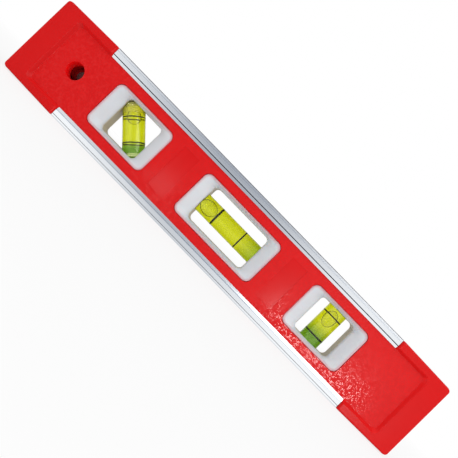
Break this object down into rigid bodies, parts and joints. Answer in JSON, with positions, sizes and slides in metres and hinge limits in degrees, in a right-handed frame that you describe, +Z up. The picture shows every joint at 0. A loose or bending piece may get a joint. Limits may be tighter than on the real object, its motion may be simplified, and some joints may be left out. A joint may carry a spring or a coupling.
{
  "type": "magnetic torpedo level",
  "caption": "Short magnetic spirit level: red moulded body between aluminium rails, with level, plumb and diagonal vials in white bezels and a hang hole.",
  "frame": {"origin": "middle of the sole, the face that the level stands on", "axes": "+X along the level towards the plumb vial's end, -Y out of the front face, +Z up from the sole to the top edge"},
  "size_m": [0.229, 0.022, 0.0402],
  "materials": {
    "shell": "satin",
    "rail": "satin",
    "magnet": "matte",
    "bezel": "satin",
    "vial": "gloss",
    "line": "matte",
    "liquid": "gloss",
    "bubble": "gloss"
  },
  "bodies": {
    "level": {"front_shell": "shell", "rear_shell": "shell", "top_rail": "rail", "bottom_rail": "rail", "magnet_left": "magnet", "magnet_middle": "magnet", "magnet_right": "magnet", "level_bezel_front": "bezel", "level_bezel_rear": "bezel", "plumb_bezel_front": "bezel", "plumb_bezel_rear": "bezel", "diagonal_bezel_front": "bezel", "diagonal_bezel_rear": "bezel", "level_vial": "vial", "level_plug": "vial", "plumb_vial": "vial", "plumb_plug": "vial", "diagonal_vial": "vial", "diagonal_plug": "vial", "level_lines": "line", "plumb_lines": "line", "diagonal_lines": "line", "level_liquid": "liquid", "plumb_liquid": "liquid", "diagonal_liquid": "liquid"},
    "level_bubble": {"level_bubble": "bubble"},
    "plumb_bubble": {"plumb_bubble": "bubble"},
    "diagonal_bubble": {"diagonal_bubble": "bubble"}
  },
  "joints": [
    {"name": "level_bubble_slide", "type": "slide", "parent": "level", "child": "level_bubble", "axis": [1, 0, 0], "range_m": [-0.0036, 0.0274], "stiffness_N_per_m": 8, "deforming": ["level_liquid"]},
    {"name": "plumb_bubble_slide", "type": "slide", "parent": "level", "child": "plumb_bubble", "axis": [0, 0, 1], "range_m": [-0.0097, 0.0013], "stiffness_N_per_m": 8, "deforming": ["plumb_liquid"]},
    {"name": "diagonal_bubble_slide", "type": "slide", "parent": "level", "child": "diagonal_bubble", "axis": [-0.7071, 0, 0.7071], "range_m": [-0.0123, 0.0003], "stiffness_N_per_m": 8, "deforming": ["diagonal_liquid"]}
  ]
}
